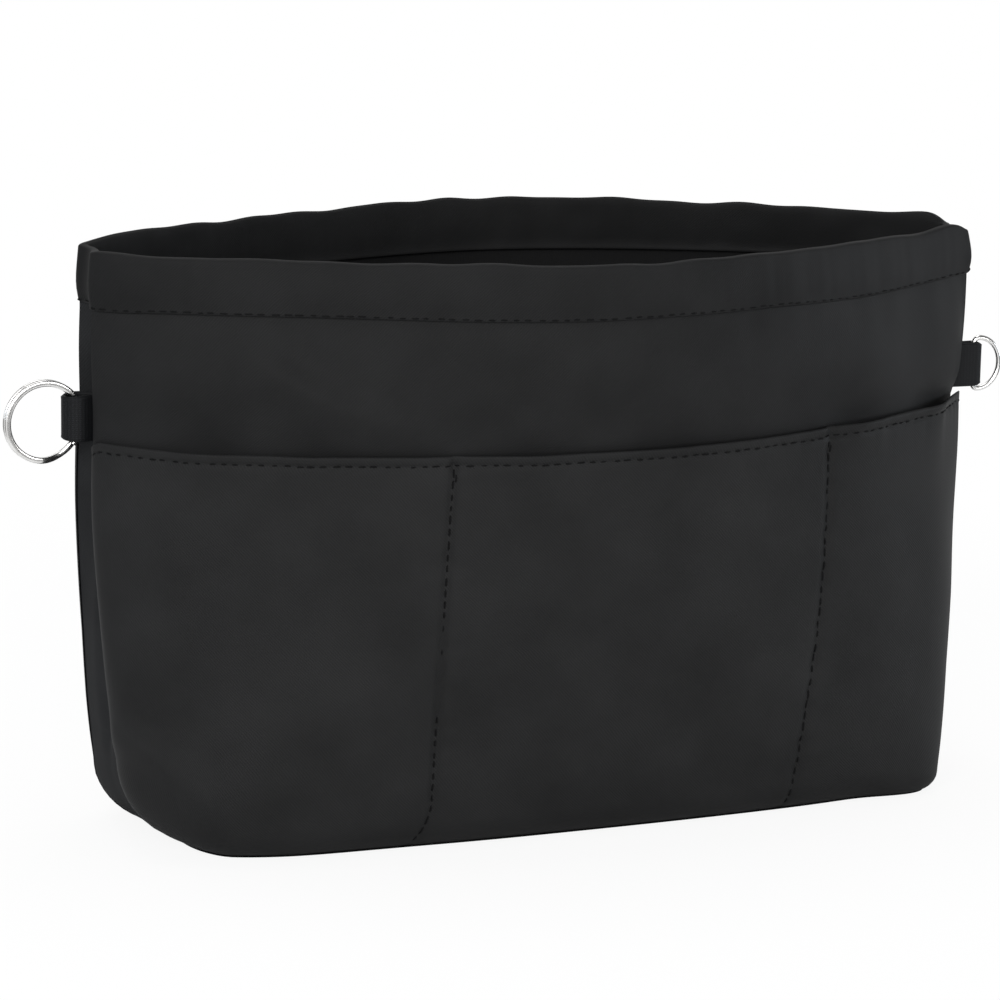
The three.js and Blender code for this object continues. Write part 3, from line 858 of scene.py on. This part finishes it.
LAYERS = {
    "panel": (PANEL_ROWS, SHELL, SHELL_TWILL, "shell_fabric"),
    "lining": (LINING_ROWS, LINING, LINING_CLOTH, "lining_fabric"),
    "pocket_panel": (POCKET_ROWS, POCKET, POCKET_TWILL, "pocket_fabric"),
    "inner_pocket": (INNER_POCKET_ROWS, INNER_POCKET, LINING_CLOTH, "lining_fabric"),
    # The gussets take the lighter, bluer twill: painted light on the side walls.
    "gusset": (PANEL_ROWS, SHELL, GUSSET_LIT_TWILL, "gusset_fabric"),
    "gusset_lining": (LINING_ROWS, LINING, LINING_CLOTH, "lining_fabric"),
}


def foam_layer(name, wall, u, thicken):
    made = wall_cloth(f"{name}_pad", wall, u, FOAM_ROWS, FOAM, FOAM_WHITE, None, thicken)
    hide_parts(name)


def panel_layer(wall, kind, u, lift=None, thicken=None, droop=None):
    rows, depths, material, slot = LAYERS[kind]
    made = wall_cloth(f"{wall}_{kind}_cloth", wall, u, rows, depths, material, lift, thicken, droop)
    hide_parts(f"{wall}_{kind}")
    declare_sheet(made)


for wall in LONG_WALLS:
    marks = [float(u_of(along)) for pair in DIVIDERS[wall] for along in pair]
    u = spaced(0, 1, LONG_STEPS[wall], marks, BESIDE_DIVIDER)
    foam_layer(f"{wall}_foam", wall, COARSE_U, FOAM_LIFTS[wall])
    panel_layer(wall, "panel", u, PANEL_LIFTS[wall])
    panel_layer(wall, "lining", COARSE_U, lining_lift)
    panel_layer(wall, "pocket_panel", u, POCKET_LIFTS[wall], hem_fold, hem_ends)
    panel_layer(wall, "inner_pocket", COARSE_U)
for wall in GUSSET_WALLS:
    foam_layer(f"{wall}_gusset_foam", wall, GUSSET_U, gusset_valley)
    panel_layer(wall, "gusset", GUSSET_U, gusset_lift)
    panel_layer(wall, "gusset_lining", GUSSET_U)


# Base

def base_edge(wall, reach):
    """Plan points of the base's edge along a wall, moved out by a reach except near the seams."""
    u = np.linspace(0, 1, 121 if wall in LONG_WALLS else 41)[:-1]
    clear = smooth(seam_distance(wall, u, np.zeros_like(u)), 2, 14)
    further = reach * clear * EDGE_RADIUS / edge_radius(wall, u)
    return place(wall, u, shell_bottom + further, SHELL[1])[:, :2]


def base_sheet(name, node, levels, material, reach=0.0):
    """A flat layer of the base, as rings drawn in towards its middle."""
    edge = np.concatenate([base_edge(wall, reach) for wall in WALLS])
    count = len(edge)
    flat = np.concatenate([edge * share for share in BASE_RINGS] + [np.zeros((1, 2))])
    vertices = np.concatenate([np.insert(flat, 2, level, axis=1) for level in levels])
    middle = len(flat) - 1
    ring = neighbours(count)
    faces = []
    for a in range(0, middle - count, count):
        faces += [[a + c, a + n, a + count + n, a + count + c] for c, n in ring]
    faces += [[middle - count + c, middle - count + n, middle] for c, n in ring]
    faces = [face[::-1] for face in faces] + shifted(faces, len(flat))
    faces += [[c, n, len(flat) + n, len(flat) + c] for c, n in ring]
    made = add_object(name, vertices, faces, material, vertices[:, :2])
    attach(made, "bag")
    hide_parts(node)
    return made


# The base cloth, painted near black, reaches past the walls: painted contact shadow along the bottom edge.
base_cloth = base_sheet("base_panel_cloth", "base_panel", BASE_CLOTH, BASE_SHADOW_TWILL,
                        BASE_CLOTH_SHADOW_REACH)
declare_sheet(base_cloth)
base_lining = base_sheet("base_lining_cloth", "base_lining", BASE_LINING, LINING_CLOTH)
declare_sheet(base_lining)
base_sheet("base_board_card", "base_board", BASE_BOARD, GREY_BOARD, BASE_BOARD_REACH)


# Casing band round the mouth

def band_rise(wall, x):
    """How far the rim stands above its plain height."""
    if wall == "front":
        corner = 2.0 * smooth(x, 121.5, 126.7) ** 2
        return 0.75 * smooth(-x, -70, 20) + 0.3 * ripple(x, 30, 51) - 1.6 * smooth(x, 45, 105) - corner
    if wall == "back":
        waves = 0.4 * ripple(x, 26, 52) + 0.2 * hump(x, 0, 60)
        corner = 3.8 * smooth(x, 122.3, 128.5) + 0.1 * smooth(x, 92, 108)
        return waves + 1.3 * smooth(-x, 60, 110) - 0.9 * smooth(x, 20, 100) - corner
    return np.where(x < 0, 0.6, -3.0)


def stitch_rise(wall, x):
    """How far the band's lower edge lies above its plain height."""
    if wall != "front":
        return np.zeros_like(x)
    raised = hump(x, -75, 45) + 0.4 * hump(x, 10, 30)
    return raised - 1.4 * smooth(x, 45, 85) - 0.5 * smooth(-x, 108, 124)


def rounded_loop(points):
    """A closed loop as evenly spaced points, with its corners rounded off."""
    closed = np.concatenate([points, points[:1]])
    run = run_along(closed)
    made = at_run(np.linspace(0, run[-1], BAND_STEPS, endpoint=False), run, closed)
    for _ in range(BAND_ROUNDS):
        made = 0.5 * made + 0.25 * (np.roll(made, 1, 0) + np.roll(made, -1, 0))
    return made


def band_loop(depth, height, wave):
    """A closed loop of the band at a depth below the outer face; wave is 0 at its edge and 1 at its crown."""
    loops = []
    for wall in WALLS:
        columns = BAND_COLUMNS[0 if wall in LONG_WALLS else 1]
        u = np.arange(columns) / columns
        x = plan(wall, u, np.full_like(u, HEIGHT))[:, 0]
        points = place(wall, u, np.full_like(u, height), np.full_like(u, depth))
        points[:, 2] += band_rise(wall, x) * wave + stitch_rise(wall, x) * (1 - wave)
        loops.append(points)
    return rounded_loop(np.concatenate(loops))


def loop_normals(points):
    """Level normals of a closed loop, away from the bag's middle."""
    ahead = np.roll(points, -1, 0) - np.roll(points, 1, 0)
    return unit(np.stack([ahead[:, 1], -ahead[:, 0], np.zeros(len(points))], 1))


def band_profile():
    """Section of the band as depth, height and wave: its visible face, and the face on the walls."""
    rise = BAND_TOP - BAND_EDGE
    outer, inner = BAND_FACES
    shown = [(-0.25, BAND_EDGE + 0.15, 0), (-0.6, BAND_EDGE, 0), (outer, BAND_EDGE + 0.25, 0)]
    for share, out in BAND_PUFF:
        shown.append((outer - out, BAND_EDGE + share * rise, share))
    for k in range(1, CROWN_STEPS):
        angle = math.pi * k / CROWN_STEPS
        across = math.copysign(abs(math.cos(angle)) ** CROWN_POWER, math.cos(angle))
        up = math.sin(angle) ** CROWN_POWER
        depth = CROWN_MIDDLE - CROWN_REACH * across
        shown.append((depth, BAND_EDGE + 0.92 * rise + 0.08 * rise * up, 1))
    for share, out in BAND_PUFF[::-1]:
        flare = 0.5 * hump(share, 0, 0.07)
        shown.append((inner - 0.75 * share + 0.4 * out + flare, BAND_EDGE + share * rise, share))
    shown += [(5.45, BAND_EDGE + 0.3, 0), (5.25, BAND_EDGE, 0), (4.45, BAND_EDGE + 0.15, 0)]
    hidden = [(4.3, BAND_MIDDLE, 0.4), (4.15, WALL_TOP + 0.4, 0.9), (CROWN_MIDDLE, WALL_TOP + 0.9, 1)]
    hidden += [(-0.25, WALL_TOP + 0.4, 0.9), (-0.25, BAND_MIDDLE, 0.4)]
    return shown, hidden


def band_gather(run, share, outer_face):
    """How far the band's cloth stands out along a loop, at a share of its rise."""
    gather = ripple(run, 17, 61 if outer_face else 62) * 0.2 + ripple(run, 7, 63) * 0.06
    near_stitch = np.exp(-max(share, 0) * 3.5) * smooth(share, 0.03, 0.2)
    amount = gather * (near_stitch + 0.35 * smooth(share, 0.1, 0.4))
    if outer_face:
        return amount
    return -(amount * 0.9 + 0.16 * ripple(run, 27, 64) * hump(share, 0.68, 0.25))


def rim_band():
    """A folded strip that straddles the wall tops, puffed between its stitches and its crown."""
    shown, hidden = band_profile()
    profile = shown + hidden
    loops = np.array([band_loop(*spot) for spot in profile])
    rows, count = loops.shape[:2]
    run = run_along(loops[5])
    for r, (depth, height, _) in enumerate(shown):
        share = (height - BAND_EDGE) / (BAND_TOP - BAND_EDGE)
        loops[r] += loop_normals(loops[r]) * band_gather(run, share, depth < 0.5)[:, None]
    index = np.arange(rows * count).reshape(rows, count)
    faces = []
    for r, n in neighbours(rows):
        faces += np.stack([index[r], np.roll(index[r], -1), np.roll(index[n], -1), index[n]], -1).tolist()
    climb = run_along(loops[:, 0])
    weave = np.stack(np.broadcast_arrays(run, climb[:, None]), -1).reshape(-1, 2)
    made = add_object("rim_band_cloth", loops.reshape(-1, 3), faces, BAND_TWILL, weave, sharp=80)
    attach(made, "bag")
    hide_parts("rim_band")


rim_band()


# Stitches

def thread_run(points, normals, radius, stitch_length):
    """Stitches along a line of points: each one dips into the cloth at both ends."""
    run = run_along(points)
    stitches = max(int(run[-1] // STITCH_PITCH), 1)
    pitch = run[-1] / stitches
    shares = np.linspace(-0.5, 0.5, 7)
    turns = 2 * math.pi * np.arange(THREAD_SIDES) / THREAD_SIDES
    vertices = []
    faces = []
    draw = np.random.default_rng(stitches)
    for n in range(stitches):
        length = stitch_length * draw.uniform(0.65, 1.2)
        at = (n + 0.5 + draw.uniform(-0.14, 0.14)) * pitch + shares * length
        line = at_run(at, run, points)
        normal = unit(at_run(at, run, normals))
        line += normal * (radius * (draw.uniform(0.3, 1) - 3.4 * (2 * shares) ** 4))[:, None]
        line[:, 2] += draw.uniform(-0.12, 0.12)
        ahead = unit(np.gradient(line, axis=0))
        side = unit(np.cross(ahead, normal))
        over = np.cross(side, ahead)
        faces += shifted(tube_faces(len(line), THREAD_SIDES), len(vertices))
        for p, s, o in zip(line, side, over):
            vertices += [p + radius * (math.cos(turn) * s + math.sin(turn) * o) for turn in turns]
    return vertices, faces


def stitch_piece(name, lines, thickness=THREAD, length=STITCH_LENGTH):
    """One piece holding several stitch lines."""
    vertices = []
    faces = []
    for points, normals in lines:
        more, quads = thread_run(points, normals, thickness / 2, length)
        faces += shifted(quads, len(vertices))
        vertices += more
    # The thread's dark colour is partly painted shade of the stitch holes.
    made = add_object(name, vertices, faces, STITCH_THREAD_AND_SHADE)
    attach(made, "bag")


def pocket_line(wall, u, height, thicken=None, droop=None):
    """Points and normals of a line on the pockets of a wall."""
    height = np.broadcast_to(np.asarray(height, float), u.shape)
    spots = on_layer(wall, u, height, POCKET[:1], POCKET_LIFTS[wall], thicken, droop)[0]
    return spots, outward(wall, u, height - droop(u, height) if droop else height)


hem_u = np.linspace(0.004, 0.996, 400)
divider_heights = np.linspace(HEM_STITCH - 0.5, foam_bottom + 0.5, 160)
tack_heights = np.linspace(HEM_STITCH - 0.5, HEM_STITCH - BACK_TACK, 24)
for wall in LONG_WALLS:
    stitch_piece(f"{wall}_hem_stitches", [pocket_line(wall, hem_u, HEM_STITCH, hem_fold, hem_ends)])
    lines = []
    for k in range(len(DIVIDERS[wall])):
        lines.append(pocket_line(wall, u_of(divider_along(wall, k, divider_heights)), divider_heights))
        lines.append(pocket_line(wall, u_of(divider_along(wall, k, tack_heights) + TACK_SHIFT), tack_heights))
    stitch_piece(f"{wall}_divider_stitches", lines, DIVIDER_THREAD, DIVIDER_STITCH)

outer_row, inner_row = (band_loop(depth, BAND_STITCH, 0) for depth in BAND_ROWS)
stitch_piece("rim_band_stitches", [(outer_row, loop_normals(outer_row))])
stitch_piece("rim_band_inner_stitches", [(inner_row, -loop_normals(inner_row))], INNER_THREAD)


# Tabs

def tab_path(loop_radius, tab_reach):
    """Middle line of the folded webbing in plan, from one sewn end round the loop to the other."""
    radius = loop_radius + WEB_THICKNESS / 2
    lay = WEB_THICKNESS / 2 + TAB_GAP
    contact = math.acos((lay - radius) / tab_reach)
    angles = np.linspace(-contact, contact, 25)
    loop = np.stack([tab_reach + radius * np.cos(angles), radius * np.sin(angles)], 1)
    there = np.linspace((TAB_ROOT, -lay), loop[0], 9)
    back = np.linspace(loop[-1], (TAB_ROOT, lay), 9)
    return np.concatenate([there, loop[1:], back[1:]])


def web_section():
    """Section of the webbing as offsets from its middle and shares of its half width, with beaded edges."""
    section = []
    for side in (1, -1):
        for a in np.linspace(-1, 1, 25)[::side]:
            past = max(abs(a) * WEB_WIDTH / 2 - WEB_WIDTH / 2 + WEB_EDGE, 0)
            edge = math.sqrt(max(1 - past**2 / WEB_EDGE**2, 0.04))
            bead = 1 + 0.12 * hump(abs(a), 0.93, 0.06)
            section.append((side * WEB_THICKNESS / 2 * edge * bead, a))
    return section


def set_in_place(points, turn, middle):
    """Points turned about the upright axis and moved to a middle."""
    return np.array(points) @ np.array(Matrix.Rotation(turn, 3, "Z")).T + middle


def tab_piece(side, turn, loop_radius, tab_reach):
    """A strip of webbing folded round its ring."""
    hinge = np.array(JOINTS[f"{side}_tab_bend"]["pos_m"]) / MM
    path = tab_path(loop_radius, tab_reach)
    ahead = unit(np.gradient(path, axis=0))
    normal = np.stack([ahead[:, 1], -ahead[:, 0]], 1)
    run = run_along(path)
    section = web_section()
    vertices = []
    weave = []
    for i, point in enumerate(path):
        pinch = 1 - 0.07 * hump(i, len(path) // 2, 9)
        for off, a in section:
            vertices.append((*(point + normal[i] * off), a * WEB_WIDTH / 2 * pinch))
            weave.append((run[i], a * WEB_WIDTH / 2))
    faces = [face[:1] + face[:0:-1] for face in tube_faces(len(path), len(section))]
    vertices = set_in_place(vertices, turn, hinge)
    made = add_object(f"{side}_web_tab_tape", vertices, faces, WEBBING, weave, sharp=60)
    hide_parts(f"{side}_web_tab")
    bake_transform(made)


JOINTS = {joint["name"]: joint for joint in frame["joints"]}
tab_piece("left", math.pi, KEY_LOOP_RADIUS, KEY_TAB_REACH)
tab_piece("right", 0.0, D_WIRE / 2 + D_LOOP_CLEARANCE, D_TAB_REACH)


# Rings

def wire_piece(node, body, path, section, turn, middle):
    """A closed wire along a path in the XZ plane, with its section as outward and sideways offsets."""
    path = np.asarray(path)
    ahead = np.gradient(path, axis=0)
    ahead[:, 1] = 0
    ahead = unit(ahead)
    out = np.stack([ahead[:, 2], np.zeros(len(path)), -ahead[:, 0]], 1)
    vertices = []
    for point, away in zip(path, out):
        vertices += [point + away * off + np.array([0, side, 0]) for off, side in section]
    vertices = set_in_place(vertices, turn, middle)
    made = add_object(f"{node}_wire", vertices, tube_faces(len(path), len(section)), NICKEL, sharp=50)
    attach(made, body)
    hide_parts(node)


def wire_section(width, thickness, power, sides=20):
    """A rounded section; a lower power makes it squarer."""
    angles = 2 * np.pi * (np.arange(sides) + 0.5) / sides
    across, along = (np.copysign(np.abs(c) ** power, c) for c in (np.cos(angles), np.sin(angles)))
    return np.stack([across * width / 2, along * thickness / 2], 1)


def ring_path():
    """Nearly two turns of wire, with a step from one to the other."""
    sweep = 4 * math.pi - 2 * RING_STEP
    radius = (RING_DIAMETER - RING_WIRE[0]) / 2
    turned = sweep * np.arange(RING_POINTS + 1) / RING_POINTS
    climb = smooth(turned, (sweep - RING_STEP) / 2, (sweep + RING_STEP) / 2)
    angle = -RING_SPLIT + RING_STEP + turned
    return np.stack([radius * np.cos(angle), (climb - 0.5) * RING_PITCH, radius * np.sin(angle)], 1)


def d_path():
    """A straight bar, two tight bends and a bow, starting and ending at the middle of the bar."""
    bow = WEB_WIDTH / 2 + D_SIDE_CLEARANCE + D_WIRE / 2
    points = [(0, 0, -D_BAR_STUB)]

    def arc(z, depth, rise, start, end, steps):
        for k in range(steps + 1):
            angle = start + (end - start) * k / steps
            points.append((D_BEND + depth * math.cos(angle), 0, z + rise * math.sin(angle)))

    arc(D_BEND - bow, D_BEND, D_BEND, math.pi, 1.5 * math.pi, 12)
    arc(0, D_BOW, bow, -math.pi / 2, math.pi / 2, 48)
    arc(bow - D_BEND, D_BEND, D_BEND, math.pi / 2, math.pi, 12)
    return points + [(0, 0, D_BAR_STUB)]


ring_low, ring_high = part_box("split_key_ring")
wire_piece("split_key_ring", "key_ring", ring_path(), wire_section(*RING_WIRE, RING_WIRE_POWER),
           math.pi + RING_REST, np.array((ring_low + ring_high) / 2) / MM)
d_low, d_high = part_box("d_ring")
d_seat = np.array([d_low.x / MM + D_WIRE / 2, 0, (d_low.z + d_high.z) / 2 / MM])
wire_piece("d_ring", "d_ring_body", d_path(), wire_section(D_WIRE, D_WIRE, 1.0), 0.0, d_seat)


# Stage, light and camera

def seen_by_eye(tree):
    """1 for rays from the camera and through clear surfaces."""
    path = add_node(tree, "LightPath")
    return joined(tree, "MAXIMUM", path["Is Camera Ray"], path["Is Transmission Ray"])


def seen_in_mirrors(tree):
    return add_node(tree, "LightPath")["Is Glossy Ray"]


def studio_light(tree, direction):
    """Brightness of the studio that mirrors see in a direction."""
    facing = add_node(tree, "VectorMath", {0: direction, 1: STUDIO_AXIS}, operation="DOT_PRODUCT")["Value"]
    return tinted(tree, ranged(tree, facing, start=-1.0), *((at, [light] * 3) for at, light in STUDIO_LIGHT))


def either(tree, share, first, second):
    """The first surface, or the second one as far as the share goes."""
    return add_node(tree, "MixShader", {"Fac": share, 1: first, 2: second})[0]


def pale_floor():
    """A floor with a soft shadow, white to the camera further away, and like the studio to mirrors."""
    material, tree, shader = new_material("pale_floor")
    feed(tree, shader, {"Base Color": (0.82, 0.82, 0.82, 1), "Roughness": 0.9, "Specular IOR Level": 0.1})
    where = add_node(tree, "NewGeometry")
    away = add_node(tree, "VectorMath", {0: where["Position"]}, operation="LENGTH")["Value"]
    near, far = FLOOR_SHADOW
    share = ranged(tree, away, start=near, end=far)
    ahead = add_node(tree, "VectorMath", {0: where["Incoming"], "Scale": -1}, operation="SCALE")["Vector"]
    mirrored = add_node(tree, "Emission", {"Strength": studio_light(tree, ahead)})[0]
    white = add_node(tree, "Emission", {"Strength": 1.0})[0]
    plain = either(tree, joined(tree, "MULTIPLY", seen_in_mirrors(tree), share), shader.outputs[0], mirrored)
    whiter = joined(tree, "MULTIPLY", seen_by_eye(tree), ranged(tree, share, FLOOR_WHITE, 1.0))
    feed(tree, tree.nodes["Material Output"], {"Surface": either(tree, whiter, plain, white)})
    return material


def make_stage():
    mesh = bpy.data.meshes.new("floor")
    corners = [(x * FLOOR_REACH, y * FLOOR_REACH, 0) for x, y in ((-1, -1), (1, -1), (1, 1), (-1, 1))]
    mesh.from_pydata(corners, [], [[0, 1, 2, 3]])
    mesh.materials.append(pale_floor())
    floor = linked("floor", mesh)
    floor.location.z = -FLOOR_DROP


def make_world():
    """White to the camera, the studio to mirrors, and a plain ambient light to all else."""
    world = bpy.data.worlds.new("studio")
    bpy.context.scene.world = world
    world.use_nodes = True
    tree = world.node_tree
    tree.nodes.clear()
    mirrored = studio_light(tree, add_node(tree, "TexCoord")["Generated"])
    ambient, studio, white = (
        add_node(tree, "Background", {"Color": WHITE, "Strength": strength})[0]
        for strength in (AMBIENT, mirrored, 1.0)
    )
    lit = either(tree, seen_in_mirrors(tree), ambient, studio)
    add_node(tree, "OutputWorld", {"Surface": either(tree, seen_by_eye(tree), lit, white)})


def area_light(name, at, aim, size, watts, colour=(1, 1, 1)):
    data = bpy.data.lights.new(name, "AREA")
    data.shape = "RECTANGLE"
    data.size, data.size_y = size
    data.energy = watts
    data.color = colour
    light = linked(name, data)
    light.location = at
    light.rotation_euler = (Vector(aim) - Vector(at)).to_track_quat("-Z", "Y").to_euler()


def make_camera():
    spin = Matrix.Rotation(-VIEW_AZIMUTH, 4, "Z") @ Matrix.Rotation(math.pi / 2 - VIEW_ELEVATION, 4, "X")
    spin = spin @ Matrix.Rotation(-VIEW_ROLL, 4, "Z")
    data = bpy.data.cameras.new("camera")
    data.lens = VIEW_LENS
    data.sensor_width = 36
    data.shift_x, data.shift_y = VIEW_SHIFT
    camera = linked("camera", data)
    camera.matrix_world = Matrix.Translation(VIEW_TARGET) @ spin @ Matrix.Translation((0, 0, VIEW_DISTANCE))
    bpy.context.scene.camera = camera


make_stage()
make_world()
area_light("key", (-0.75, -1.25, 0.8), (0, 0, 0.06), (0.9, 0.9), 13.2)
area_light("fill", (1.35, -0.25, 0.22), (0, 0, 0.05), (0.8, 0.4), 5, COOL)
area_light("side", (-1.4, 0.15, 0.4), (0, 0, 0.06), (0.6, 0.6), 4, COOL)
area_light("front", (0.45, -1.35, 0.17), (0.04, 0, 0.02), (1.0, 0.3), 5.6)
area_light("top", (0, 0.3, 1.5), (0, 0, 0.1), (1.2, 0.8), 10)
make_camera()
bpy.context.scene.view_settings.view_transform = "Standard"
